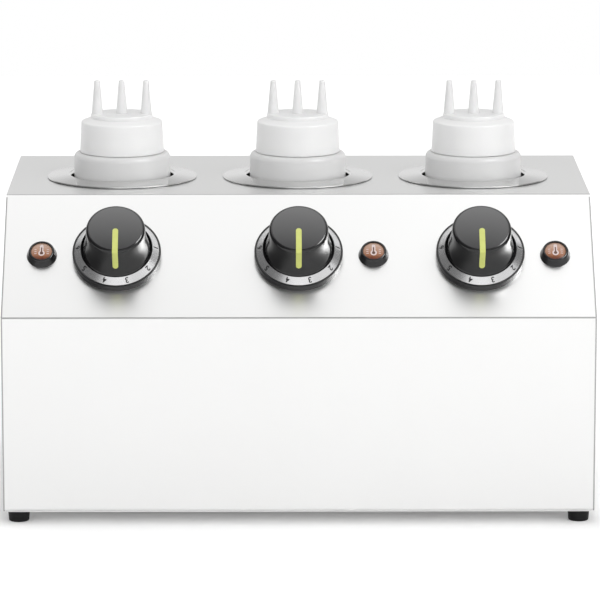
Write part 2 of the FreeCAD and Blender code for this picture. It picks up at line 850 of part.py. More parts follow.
def knob():
    """Hollow knob with a hub for the shaft, four ribs and a groove for its pointer."""
    cavity = knob_body(-knob_wall)
    groove = pointer_path(overrun).cut(knob_body(-pointer_sink))
    shell = knob_body(0).cut(cavity.fuse(cavity.translated(Z_AXIS * -overrun))).cut(groove)
    hub = cylinder(hub_radius, knob_height - knob_wall / 2)
    webs = []
    for index in range(ribs):
        web = box(Vector(0, -rib_thickness / 2, 0),
                    Vector(knob_base_radius - knob_wall / 2, rib_thickness / 2,
                           knob_height - knob_wall / 2))
        web.rotate(Vector(), Z_AXIS, 360 / ribs * (index + 1 / 2))
        webs.append(web.common(knob_body(-knob_wall / 2)))
    bore = d_section(shaft_radius + shaft_play, shaft_reach - knob_floor + seam + overrun,
                     -overrun)
    solid = shell.multiFuse([hub] + webs).cut(bore).removeSplitter()
    return solid.translate(Z_AXIS * knob_floor)


def lamp_bezel():
    """Black cone-shaped bezel with a sunk seat for the lens and a barrel through the panel."""
    bore = lamp_barrel_radius - lamp_barrel_wall
    seat = lamp_height - lens_recess - lens_thickness
    mouth = lens_radius + lens_play
    return turned([(lamp_radius, 0, 0), (lamp_top_radius, lamp_height, lamp_edge),
                   (mouth, lamp_height, 0), (mouth, seat, 0), (bore, seat, 0),
                   (bore, -lamp_barrel_length, 0), (lamp_barrel_radius, -lamp_barrel_length, 0),
                   (lamp_barrel_radius, 0, 0)])


def lamp_lens():
    """Amber lens with a low dome and a stem down the barrel."""
    stem = lamp_barrel_radius - lamp_barrel_wall - lens_play
    edge = lamp_height - lens_recess
    seat = edge - lens_thickness
    return turned([(0, seat - lens_stem, 0), (stem, seat - lens_stem, 0), (stem, seat, 0),
                   (lens_radius, seat, 0), (lens_radius, edge, lens_edge),
                   (lens_radius * lens_dome_share, edge + lens_dome, lens_dome_round),
                   (0, edge + lens_dome, 0)])


def lamp_nut():
    nut = hexagon(lamp_nut_width, lamp_nut_height, Z_AXIS * (-sheet - lamp_nut_height))
    return nut.cut(cylinder(lamp_barrel_radius + lens_play, lamp_barrel_length,
                            Z_AXIS * -lamp_barrel_length))


# Bottles and caps

def thread(radius, outward, start, turns):
    """Helical ridge on a round wall, standing out from it or into it."""
    side = 1 if outward else -1
    base = radius - side * thread_sink
    crest = radius + side * thread_height
    helix = Part.makeHelix(thread_pitch, thread_pitch * turns, base)
    section = [Vector(base, 0, -thread_root / 2), Vector(crest, 0, -thread_crest / 2),
               Vector(crest, 0, thread_crest / 2), Vector(base, 0, thread_root / 2)]
    ridge = Part.Wire(helix).makePipeShell([Part.makePolygon(section + section[:1])], True, True)
    return ridge.translate(Z_AXIS * start)


def bottle(x):
    """Squeeze bottle: thin body, rounded shoulder and a threaded neck."""
    ledge = bottle_radius - bottle_push_up_inset
    neck_bore = neck_radius - neck_wall
    mouth_z = bottle_height + neck_height
    inner = bottle_radius - bottle_wall
    shell = turned([(0, bottle_push_up, 0), (ledge, bottle_push_up, 0),
                    (ledge + bottle_push_up, 0, 0), (bottle_radius, 0, bottle_foot_round),
                    (bottle_radius, bottle_height, bottle_shoulder_round),
                    (neck_radius, bottle_height, 0), (neck_radius, mouth_z, neck_lip_round),
                    (neck_bore, mouth_z, neck_lip_round), (neck_bore, bottle_height - bottle_wall, 0),
                    (inner, bottle_height - bottle_wall, bottle_shoulder_round - bottle_wall),
                    (inner, bottle_wall, bottle_foot_round - bottle_wall),
                    (ledge + bottle_push_up, bottle_wall, 0),
                    (ledge, bottle_push_up + bottle_wall, 0), (0, bottle_push_up + bottle_wall, 0)])
    ridge = thread(neck_radius, True, bottle_height + thread_start, neck_thread_turns)
    return shell.fuse(ridge).translate(Vector(x, well_y, bottle_z))


def bottle_cap(x):
    """Screw cap: skirt, sloping shoulder, raised plateau and three hollow nozzles in a row."""
    shoulder_z = cap_side_height + cap_shoulder_rise
    plateau_z = shoulder_z + plateau_rise
    attic = plateau_radius - cap_roof
    body = turned([(0, plateau_z, 0), (0, plateau_z - cap_roof, 0),
                   (attic, plateau_z - cap_roof, 0), (attic, cap_ceiling, 0),
                   (cap_bore, cap_ceiling, 0), (cap_bore, cap_skirt_relief, 0),
                   (cap_skirt_bore, cap_skirt_relief, 0), (cap_skirt_bore, 0, 0),
                   (cap_base_radius, 0, 0), (cap_top_radius, cap_side_height, cap_edge),
                   (plateau_radius, shoulder_z, 0), (plateau_radius, plateau_z, plateau_edge)])
    tips, bores = [], []
    for row in (-1, 0, 1):
        centre = Vector(row * nozzle_spacing, 0, plateau_z)
        cone = turned([(0, -cap_roof, 0), (nozzle_root_radius, -cap_roof, 0),
                       (nozzle_root_radius, 0, 0),
                       (nozzle_tip_radius, nozzle_length, nozzle_tip_round),
                       (0, nozzle_length, 0)])
        bore = turned([(0, -cap_roof - overrun, 0), (nozzle_bore_root, -cap_roof - overrun, 0),
                       (nozzle_bore_root, 0, 0), (nozzle_bore_tip, nozzle_length + overrun, 0),
                       (0, nozzle_length + overrun, 0)])
        tips.append(cone.translate(centre))
        bores.append(bore.translate(centre))
    start = thread_start - thread_pitch / 2 - cap_gap
    ridge = thread(cap_bore, False, start, cap_thread_turns)
    cap = body.multiFuse(tips).cut(group(bores)).removeSplitter().fuse(ridge)
    return cap.translate(Vector(x, well_y, cap_z))


def cap_seal(x):
    """Flat washer between the bottle's lip and the cap."""
    base = cap_z + cap_ceiling - seal_gap - seal_thickness
    return tube(seal_outer, seal_inner, seal_thickness, Vector(x, well_y, base))


# Supply

def cable_gland():
    """Compression gland: a stub through the rear panel, two hexagons and a domed mouth."""
    point = Vector(gland_x, rear_y, base_z + gland_rise)
    waist = point + Y_AXIS * gland_hex_height
    cap = waist + Y_AXIS * gland_waist_height
    dome = cap + Y_AXIS * gland_cap_height
    pieces = [hexagon(gland_hex_width, gland_hex_height, point, Y_AXIS),
              cylinder(gland_waist_radius, gland_waist_height, waist, Y_AXIS),
              hexagon(gland_cap_width, gland_cap_height, cap, Y_AXIS),
              Part.makeCone(gland_cap_width / 2, gland_dome_radius, gland_dome_height, dome,
                            Y_AXIS)]
    stub = cylinder(gland_stub_radius, gland_stub_length, point - Y_AXIS * gland_stub_length,
                    Y_AXIS)
    bore = cylinder(gland_bore, gland_stub_length + gland_reach + 2 * overrun,
                    point - Y_AXIS * (gland_stub_length + overrun), Y_AXIS)
    return stub.multiFuse(pieces).cut(bore).removeSplitter()


def gland_locknut():
    point = Vector(gland_x, rear_y - sheet - locknut_height, base_z + gland_rise)
    nut = hexagon(gland_hex_width, locknut_height, point, Y_AXIS)
    return nut.cut(cylinder(gland_stub_radius + lens_play, 2 * locknut_height,
                            point - Y_AXIS * overrun, Y_AXIS))


def terminal_block():
    """Stepped terminal block with a screw well and a wire hole for each way."""
    centre = Vector(gland_x - block_offset, rear_y - block_setback, base_z)
    corner = centre - Vector(block_length / 2, block_width / 2, 0)
    low = Part.makeBox(block_length, block_width, block_height - block_step, corner)
    inset = (block_width - block_step_width) / 2
    ridge = Part.makeBox(block_length, block_step_width, block_height, corner + Y_AXIS * inset)
    cuts = []
    deck = block_height - block_step
    for way in range(block_ways):
        x = block_length * (way + 1 / 2) / block_ways
        for side in (-1, 1):
            y = block_width / 2 + side * (block_step_width + inset) / 2
            cuts.append(cylinder(block_screw_radius, block_screw_depth + overrun,
                                 corner + Vector(x, y, deck - block_screw_depth)))
            mouth = corner + Vector(x, block_width / 2 + side * block_width / 2, deck / 3)
            cuts.append(cylinder(block_wire_radius, block_wire_depth, mouth, Y_AXIS * -side))
    return low.fuse(ridge).cut(group(cuts)).removeSplitter()


def earth_stud():
    """Stud through the base plate for the earth wires."""
    point = Vector(gland_x - earth_offset, rear_y - block_setback, base_z)
    shank = cylinder(screw_radius, earth_length + sheet, point - Z_AXIS * sheet)
    head = cylinder(earth_head_radius, earth_head_height,
                    point - Z_AXIS * (sheet + earth_head_height))
    nut = hexagon(nut_width, nut_height, point)
    return shank.multiFuse([head, nut]).removeSplitter()


def mirrored(shape):
    return shape.mirror(Vector(), X_AXIS)


os.makedirs("parts", exist_ok=True)

export("wrap_panel", wrap_panel())
export("side_panel_left", side_panel())
export("side_panel_right", mirrored(side_panel()))
export("rear_panel", rear_panel())
export("base_plate", base_plate())
export("rear_panel_screws", group([screw(casing_screw_length, point, Y_AXIS)
                                   for point in rear_screw_points()]))
export("base_plate_screws", group([screw(casing_screw_length, point, -Z_AXIS)
                                   for point in base_screw_points()]))
export("rubber_feet", group([foot(point) for point in foot_points()]))
export("foot_screws", group([foot_screw(point) for point in foot_points()]))
export("foot_nuts", group([foot_nut(point) for point in foot_points()]))
export("cable_gland", cable_gland())
export("gland_locknut", gland_locknut())
export("terminal_block", terminal_block())
export("earth_stud", earth_stud())
export("well_gaskets", group([well_gasket(x) for x in channel_x]))
export("well_collars", group([well_collar(x) for x in channel_x]))
export("band_bolts", group([band_bolt(x, collar_thickness, collar_height, collar_z)
                            for x in channel_x]
                           + [band_bolt(x, heater_thickness, heater_height, heater_z)
                              for x in channel_x]))
export("insulation_jackets", group([insulation_jacket(x) for x in channel_x]))
export("thermal_cutouts", group([thermal_cutout(x) for x in channel_x]))
export("thermostat_screws", group(thermostat_screws()))
export("capillary_tubes", group([capillary(x) for x in channel_x]))
export("dial_rings", group([on_slope(dial_ring(), x) for x in channel_x]))
export("lamp_nuts", group([on_slope(lamp_nut(), x) for x in lamp_x]))

for number, x, lamp in zip(channels, channel_x, lamp_x):
    export(f"well_{number}", well(x))
    export(f"band_heater_{number}", band_heater(x))
    export(f"thermostat_{number}", on_slope(thermostat(), x))
    export(f"thermostat_shaft_{number}", on_slope(thermostat_shaft(), x))
    export(f"dial_base_{number}", on_slope(dial_base(), x))
    export(f"knob_{number}", on_slope(knob(), x))
    export(f"knob_pointer_{number}", on_slope(knob_pointer(), x))
    export(f"lamp_bezel_{number}", on_slope(lamp_bezel(), lamp))
    export(f"lamp_lens_{number}", on_slope(lamp_lens(), lamp))
    export(f"bottle_{number}", bottle(x))
    export(f"bottle_cap_{number}", bottle_cap(x))
    export(f"cap_seal_{number}", cap_seal(x))
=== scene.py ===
"""Finish, lights and camera for the countertop topping warmer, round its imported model.

Metres, +Z up, in the model's own frame: X runs along the front from left to right and Y from the
front to the back. Every surface has a procedural material. The numbers on the dials and the signs
on the lamps are thin pieces of their own that lie on the parts that carry them.
"""
import json
import math

import bmesh
import bpy
from mathutils import Matrix, Vector


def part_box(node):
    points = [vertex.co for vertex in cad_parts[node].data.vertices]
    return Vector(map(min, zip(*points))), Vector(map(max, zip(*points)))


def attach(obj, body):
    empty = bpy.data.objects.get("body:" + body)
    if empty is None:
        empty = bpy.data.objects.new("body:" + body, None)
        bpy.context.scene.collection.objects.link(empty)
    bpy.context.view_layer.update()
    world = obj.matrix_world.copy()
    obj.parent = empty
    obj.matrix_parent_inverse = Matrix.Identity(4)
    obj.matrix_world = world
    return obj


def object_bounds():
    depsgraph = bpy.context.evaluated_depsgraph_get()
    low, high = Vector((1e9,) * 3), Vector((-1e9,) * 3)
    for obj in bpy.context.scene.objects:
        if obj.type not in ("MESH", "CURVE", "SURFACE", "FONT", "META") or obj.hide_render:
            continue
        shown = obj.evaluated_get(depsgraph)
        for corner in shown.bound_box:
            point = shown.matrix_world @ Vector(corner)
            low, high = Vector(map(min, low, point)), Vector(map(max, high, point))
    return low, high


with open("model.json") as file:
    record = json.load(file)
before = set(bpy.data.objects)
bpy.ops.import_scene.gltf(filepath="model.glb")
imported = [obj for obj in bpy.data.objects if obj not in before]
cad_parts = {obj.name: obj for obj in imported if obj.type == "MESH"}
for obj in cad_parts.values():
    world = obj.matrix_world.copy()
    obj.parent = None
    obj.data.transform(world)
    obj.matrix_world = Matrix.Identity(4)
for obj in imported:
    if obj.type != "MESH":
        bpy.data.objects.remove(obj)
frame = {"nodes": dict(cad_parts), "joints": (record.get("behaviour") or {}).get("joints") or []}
model_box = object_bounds()
nodes = frame["nodes"]
joints = {joint["name"]: joint for joint in frame["joints"]}
channels = (1, 2, 3)

# Sizes of the pieces that are added here, and a number's height as a share of the font's size
digit_height = 0.0041
capital_share = 0.7
digit_thickness = 0.00008
digit_weight = 0.00014
digit_angles = {"1": 94.0, "2": 54.0, "3": 16.5, "4": -16.5, "5": -54.0, "6": -94.0}
sign_thickness = 0.00006
sign_lift = 0.00005
bulb_radius = 0.0024
bulb_drop = 0.0018
stem_half_width = 0.0013
stem_top = 0.0062
mercury_radius = 0.0012
mercury_width = 0.0008
mercury_top = 0.0034
mercury_edge = 0.0001
tick_length = 0.0018
tick_width = 0.0005
tick_offset = 0.0046
tick_rows = (0.0015, -0.0003, -0.0021)

# Sloping face of the dial's ring, its heights measured from the panel
ring_outer = 0.0315
ring_inner = 0.0269
ring_low = 0.0052
ring_high = 0.0090

# Dull face on top of each knob: its radius, where above the panel it sets in, and its grey with
# painted shading, darkened towards the near edge as painted shade and lightened towards the far edge
# as a painted highlight
face_radius = 0.0205
face_fade = 0.0012
face_low = 0.0315
face_high = 0.0325
face_near_painted_shade = (0.021, 0.021, 0.022)
face_far_painted_highlight = (0.135, 0.135, 0.136)

# Lamp lens, the height of its top measured from the panel
lens_radius = 0.0080
lens_dome = 0.0008
lens_top = 0.0056

# Lens colours, from its lower edge to its upper one, and where they change on the way up: painted
# shade at the lower edge, the amber, then a painted highlight towards the upper edge
lens_lower = -0.0075
lens_upper = 0.0065
lens_unevenness = 0.14
lens_painted_shade = (0.110, 0.018, 0.010)
lens_amber = (0.32, 0.105, 0.026)
lens_painted_highlight = (0.50, 0.33, 0.25)
lens_amber_start = 0.02
lens_amber_end = 0.32
lens_painted_highlight_start = 0.30

# Cut ends of the folded sheet, darkened from the front as far back as the fold above the slope: a
# dark seam there with painted shade on the edge
cut_edge = 0.0012
cut_edge_fade = 0.00036
cut_edge_seam_and_shade = (0.36, 0.36, 0.36)
cut_edge_end_y = -0.063

# Grain of the brushed sheet, in strokes to a metre along it and across it
grain_along = 9.0
grain_across = 2600.0

# Folds above and below the slope, half of its length from its middle, darkened by a painted dark
# reflection along each fold
panel_half = 0.05768
fold_reach = 0.0008
fold_fade = 0.0002
fold_painted_reflection = (0.50, 0.50, 0.50)

# Camera
camera_place = Vector((-0.01651, -3.17104, 0.76850))
camera_pitch = 11.197
camera_yaw = 0.328
camera_sensor = 36.0
camera_lens = 251.04

# Floor: its glow under the casing, near it and far from it, and how far off near and far are; the
# glow is weakest under and beside the casing, a painted shade that deepens the model's shadow
floor_half = 2.2
floor_tone = 0.90
floor_glow_under = 0.10
floor_glow_near = 0.22
floor_glow_far = 0.50
floor_near = 0.022
floor_far = 1.1

# Room: the even light that it gives, and its tones in glossy surfaces
room_light = 0.73
card_tone = 0.16
front_tone = 1.00
back_low_tone = 0.72
back_level_tone = 0.86
back_tone = 0.56
back_upper_tone = 0.95
left_tone = 0.20
right_tone = 0.80

# Where the room's tones change, as parts of a direction of length one
side_rise = 0.8
upper_start = 0.38
upper_end = 0.62
front_end = -0.25
back_start = 0.25
back_low_end = -0.02
back_level_start = 0.12
back_level_end = 0.19
back_high_start = 0.31
upper_back_start = 0.40
upper_back_end = 0.75
left_end = 0.15
right_start = 0.60

# Places worked out from the frame
panel_centre = Vector(joints["knob_2_turn"]["pos_m"])
panel_normal = Vector(joints["knob_2_turn"]["axis"]).normalized()
to_the_right = Vector((1.0, 0.0, 0.0))
to_the_back = Vector((0.0, 1.0, 0.0))
panel_up = panel_normal.cross(to_the_right)
channel_spacing = joints["knob_3_turn"]["pos_m"][0] - joints["knob_2_turn"]["pos_m"][0]
well_low, well_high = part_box("well_2")
well_y = (well_low.y + well_high.y) / 2
casing_end = model_box[1].x
casing_back = model_box[1].y


class Graph:
    """Short ways to add nodes to one node tree."""

    def __init__(self, tree):
        self.tree = tree

    def node(self, kind, **settings):
        made = self.tree.nodes.new(kind)
        for name, value in settings.items():
            setattr(made, name, value)
        return made

    def feed(self, socket, value):
        """Give a socket a number, a colour or the output of another node."""
        if isinstance(value, (int, float)):
            socket.default_value = value
        elif isinstance(value, tuple):
            socket.default_value = (*value, 1.0)
        else:
            self.tree.links.new(value, socket)

    def maths(self, operation, *values):
        made = self.node("ShaderNodeMath", operation=operation)
        for socket, value in zip(made.inputs, values):
            self.feed(socket, value)
        return made.outputs[0]

    def length(self, first, second):
        return self.maths("SQRT", self.maths("ADD", self.maths("MULTIPLY", first, first),
                                             self.maths("MULTIPLY", second, second)))

    def range(self, value, low, high, start=0.0, end=1.0):
        """Value between start and end carried over to between low and high."""
        made = self.node("ShaderNodeMapRange")
        for name, number in (("From Min", start), ("From Max", end), ("To Min", low),
                             ("To Max", high), ("Value", value)):
            self.feed(made.inputs[name], number)
        return made.outputs["Result"]

    def blend(self, factor, first, second):
        """Mix of two colours."""
        made = self.node("ShaderNodeMix", data_type="RGBA")
        for name, value in (("Factor", factor), ("A", first), ("B", second)):
            self.feed(made.inputs[name], value)
        return made.outputs["Result"]

    def seen(self):
        """One for the camera's rays and for rays by way of gloss or glass, and nought for others."""
        path = self.node("ShaderNodeLightPath")
        gloss = self.maths("MAXIMUM", path.outputs["Is Glossy Ray"],
                           path.outputs["Is Transmission Ray"])
        return self.maths("MAXIMUM", path.outputs["Is Camera Ray"], gloss)


class Finish(Graph):
    """One procedural material: a shader whose plain sockets take values, and its node tree."""

    def __init__(self, name, **values):
        self.material = bpy.data.materials.new(name)
        self.material.use_nodes = True
        super().__init__(self.material.node_tree)
        self.shader = self.tree.nodes["Principled BSDF"]
        for socket, value in values.items():
            self.feed(self.shader.inputs[socket.replace("_", " ").title()], value)

    def place(self):
        """Position on the piece, in metres, which stays with the piece when it moves."""
        return self.node("ShaderNodeTexCoord").outputs["Object"]

    def along(self, direction, origin=Vector((0.0, 0.0, 0.0))):
        """Distance of the point from an origin along a direction."""
        dot = self.node("ShaderNodeVectorMath", operation="DOT_PRODUCT")
        self.feed(dot.inputs[0], self.place())
        dot.inputs[1].default_value = direction
        return self.maths("SUBTRACT", dot.outputs["Value"], direction.dot(origin))

    def beyond(self, direction, half):
        """Distance past half a width, to either side of the middle."""
        past = self.maths("SUBTRACT", self.maths("ABSOLUTE", self.along(direction)), half)
        return self.maths("MAXIMUM", past, 0.0)

    def channel_x(self):
        """Sideways distance from the middle of the nearest channel."""
        half = channel_spacing / 2
        return self.maths("WRAP", self.along(to_the_right), half, -half)

    def noise(self, scale, detail=2.0, stretch=(1.0, 1.0, 1.0), vector=None):
        mapping = self.node("ShaderNodeMapping")
        mapping.inputs["Scale"].default_value = stretch
        self.feed(mapping.inputs["Vector"], vector or self.place())
        texture = self.node("ShaderNodeTexNoise")
        texture.inputs["Scale"].default_value = scale
        texture.inputs["Detail"].default_value = detail
        self.feed(texture.inputs["Vector"], mapping.outputs[0])
        return texture.outputs["Fac"]

    def spun(self, across, along, scale, turns):
        """Noise drawn out in rings round a centre that two distances give."""
        combine = self.node("ShaderNodeCombineXYZ")
        rings = self.maths("MULTIPLY", self.length(across, along), scale)
        angle = self.maths("ARCTAN2", along, across)
        self.feed(combine.inputs["X"], rings)
        self.feed(combine.inputs["Y"], self.maths("MULTIPLY", angle, turns))
        return self.noise(scale=1.0, vector=combine.outputs[0])

    def colour(self, source):
        self.feed(self.shader.inputs["Base Color"], source)

    def clouded(self, pattern, tone, darkest):
        """Mix that follows a pattern between the tone and its darkest share."""
        return self.blend(pattern, tuple(darkest * value for value in tone), tone)

    def roughness(self, source):
        self.feed(self.shader.inputs["Roughness"], source)

    def uneven(self, pattern, rough, low, high):
        """Roughness that follows a pattern between two shares of its usual value."""
        self.roughness(self.range(pattern, rough * low, rough * high))

    def grain_way(self, direction):
        """Way the grain of brushed metal runs, which its reflections are drawn out across."""
        combine = self.node("ShaderNodeCombineXYZ")
        for socket, value in zip(combine.inputs, direction):
            socket.default_value = value
        self.feed(self.shader.inputs["Tangent"], combine.outputs[0])

    def bump(self, height, distance):
        made = self.node("ShaderNodeBump")
        made.inputs["Distance"].default_value = distance
        self.feed(made.inputs["Height"], height)
        self.feed(self.shader.inputs["Normal"], made.outputs["Normal"])


def seams_and_painted_shade(finish, sheet):
    """Sheet colour with the cut ends of the slope and front darkened, partly a seam and partly
    painted shade, and a painted dark reflection along the slope's two folds.
    """
    end = finish.maths("ABSOLUTE", finish.along(to_the_right))
    edge = finish.range(end, 0.0, 1.0, casing_end - cut_edge, casing_end - cut_edge + cut_edge_fade)
    front = finish.maths("LESS_THAN", finish.along(to_the_back), cut_edge_end_y)
    # Darker cut ends: the seam there and painted shade on the edge.
    cut = finish.blend(finish.maths("MULTIPLY", edge, front), sheet, cut_edge_seam_and_shade)
    off_centre = finish.maths("ABSOLUTE", finish.along(panel_up, panel_centre))
    from_fold = finish.length(finish.maths("SUBTRACT", off_centre, panel_half),
                              finish.along(panel_normal, panel_centre))
    # Painted dark reflection along both folds of the slope.
    fold = finish.range(from_fold, 1.0, 0.0, fold_reach - fold_fade, fold_reach)
    return finish.blend(fold, cut, fold_painted_reflection)


def brushed_steel(name, way, folded=False, tone=(0.83, 0.83, 0.825), rough=0.33):
    """Steel sheet with a fine grain along one way and faint clouding."""
    finish = Finish(name, metallic=1.0, anisotropic=0.4, anisotropic_rotation=0.25)
    finish.grain_way(way)
    stretch = tuple(grain_along if part else grain_across for part in way)
    grain = finish.noise(scale=1.0, stretch=stretch)
    cloud = finish.noise(scale=5.0)
    sheet = finish.clouded(cloud, tone, darkest=0.95)
    # The folded sheet gets a darkened seam with painted shade at its cut ends and a painted dark
    # reflection along its folds.
    if folded:
        sheet = seams_and_painted_shade(finish, sheet)
    finish.colour(sheet)
    finish.roughness(finish.maths("ADD", finish.range(grain, rough * 0.95, rough * 1.05),
                                  finish.range(cloud, low=-0.015, high=0.015)))
    finish.bump(grain, distance=0.0000001)
    return finish.material


def spun_steel(name, tone, rough):
    """Polished steel of the wells, with faint turning rings."""
    finish = Finish(name, metallic=1.0)
    rings = finish.spun(finish.channel_x(), finish.along(to_the_back, Vector((0, well_y, 0))),
                        scale=2400.0, turns=1.5)
    cloud = finish.noise(scale=30.0, detail=3.0)
    finish.colour(finish.clouded(cloud, tone, darkest=0.94))
    finish.uneven(rings, rough, low=0.8, high=1.25)
    finish.bump(rings, distance=0.000002)
    return finish.material


def plated(name, tone, rough):
    """Small plated or turned metal parts."""
    finish = Finish(name, metallic=1.0)
    cloud = finish.noise(scale=160.0, detail=4.0)
    finish.colour(finish.clouded(cloud, tone, darkest=0.82))
    finish.uneven(cloud, rough, low=0.8, high=1.3)
    finish.bump(finish.noise(scale=1400.0), distance=0.000006)
    return finish.material


def moulded(name, tone, rough, grain=0.00001, grain_scale=1800.0, ior=1.5):
    """Moulded plastic or rubber with a fine texture and a little change of tone."""
    finish = Finish(name)
    finish.shader.inputs["IOR"].default_value = ior
    cloud = finish.noise(scale=55.0, detail=3.0)
    finish.colour(finish.clouded(cloud, tone, darkest=0.85))
    finish.uneven(cloud, rough, low=0.9, high=1.1)
    finish.bump(finish.noise(scale=grain_scale, detail=3.0), distance=grain)
    return finish.material


def knob_plastic():
    """Black plastic: a soft dark grey face on top with painted shading, darker towards its near edge
    and lighter towards its far one, and polished edges and flanks.
    """
    finish = Finish("knob_plastic")
    finish.shader.inputs["IOR"].default_value = 1.5
    radius = finish.length(finish.channel_x(), finish.along(panel_up, panel_centre))
    inside = finish.range(radius, 1.0, 0.0, face_radius - face_fade, face_radius)
    above = finish.range(finish.along(panel_normal, panel_centre), 0.0, 1.0, face_low, face_high)
    face = finish.maths("MULTIPLY", inside, above)
    speckle = finish.noise(scale=900.0, detail=3.0)
    # Painted shading on the face: dark at its near edge, lighter at its far edge.
    far = finish.range(finish.along(panel_up, panel_centre), 0.0, 1.0, -face_radius, face_radius)
    grey = finish.blend(far, face_near_painted_shade, face_far_painted_highlight)
    flank = finish.blend(speckle, (0.0040, 0.0040, 0.0045), (0.0070, 0.0070, 0.0075))
    finish.colour(finish.blend(face, flank, grey))
    finish.roughness(finish.maths("ADD", finish.range(face, low=0.09, high=0.36),
                                  finish.range(speckle, low=-0.02, high=0.02)))
    finish.bump(speckle, distance=0.000003)
    return finish.material


def pointer_plastic():
    """Lime green insert with a faint sheen."""
    finish = Finish("pointer_plastic", coat_weight=0.2, coat_roughness=0.2)
    cloud = finish.noise(scale=240.0, detail=3.0)
    finish.colour(finish.blend(cloud, (0.55, 0.59, 0.14), (0.62, 0.66, 0.18)))
    finish.roughness(finish.range(cloud, low=0.32, high=0.42))
    finish.bump(finish.noise(scale=1500.0), distance=0.000004)
    return finish.material


def dial_metal():
    """Satin metal of the dial rings, turned, with its grain running round each dial."""
    finish = Finish("dial_metal", metallic=1.0)
    up = finish.along(panel_up, panel_centre)
    rings = finish.spun(finish.channel_x(), up, scale=5200.0, turns=3.0)
    finish.colour(finish.blend(rings, (0.70, 0.70, 0.705), (0.78, 0.78, 0.785)))
    finish.roughness(finish.range(rings, low=0.25, high=0.27))
    finish.bump(rings, distance=0.000001)
    return finish.material


def lens_plastic():
    """Amber lens with painted shade, darker and redder towards its lower edge, and a painted
    highlight, paler towards its upper one.
    """
    finish = Finish("lens_plastic", coat_weight=0.6, coat_roughness=0.06)
    up = finish.along(panel_up, panel_centre)
    cloud = finish.noise(scale=420.0, detail=3.0)
    rise = finish.maths("ADD", finish.range(up, 0.0, 1.0, lens_lower, lens_upper),
                        finish.range(cloud, low=-lens_unevenness, high=lens_unevenness))
    # Painted shade at the lower edge, then the amber, then a painted highlight towards the upper
    # edge.
    amber = finish.blend(finish.range(rise, 0.0, 1.0, lens_amber_start, lens_amber_end),
                         lens_painted_shade, lens_amber)
    finish.colour(finish.blend(finish.range(rise, 0.0, 1.0, lens_painted_highlight_start), amber, lens_painted_highlight))
    finish.roughness(finish.range(cloud, low=0.18, high=0.30))
    finish.bump(cloud, distance=0.00002)
    return finish.material


def natural_plastic(name, tone, rough):
    """Milky squeeze-bottle plastic that light soaks into."""
    finish = Finish(name, subsurface_weight=0.35, subsurface_scale=0.006)
    finish.shader.inputs["Subsurface Radius"].default_value = (1.0, 1.0, 0.95)
    cloud = finish.noise(scale=38.0, detail=3.0)
    finish.colour(finish.clouded(cloud, tone, darkest=0.965))
    finish.uneven(cloud, rough, low=0.9, high=1.1)
    finish.bump(finish.noise(scale=500.0, detail=3.0), distance=0.000012)
    return finish.material


def felted(name, tone):
    """Glass wool: short fibres, dull and uneven."""
    finish = Finish(name, sheen_weight=0.4)
    fibres = finish.noise(scale=900.0, detail=6.0, stretch=(1.0, 1.0, 0.25))
    clumps = finish.noise(scale=90.0, detail=4.0)
    finish.colour(finish.clouded(clumps, tone, darkest=0.8))
    finish.roughness(finish.range(fibres, low=0.85, high=1.0))
    finish.bump(fibres, distance=0.0003)
    return finish.material


def ink(name, tone):
    """Ink of the dial numbers and the lamp signs."""
    finish = Finish(name)
    cloud = finish.noise(scale=1500.0)
    finish.colour(finish.clouded(cloud, tone, darkest=0.9))
    finish.roughness(finish.range(cloud, low=0.45, high=0.6))
    return finish.material


def put(material, *names):
    """Give CAD nodes a material in place of the plain one they came with."""
    for name in names:
        mesh = nodes[name].data
        mesh.materials.clear()
        mesh.materials.append(material)


def numbered(name):
    return [f"{name}_{channel}" for channel in channels]


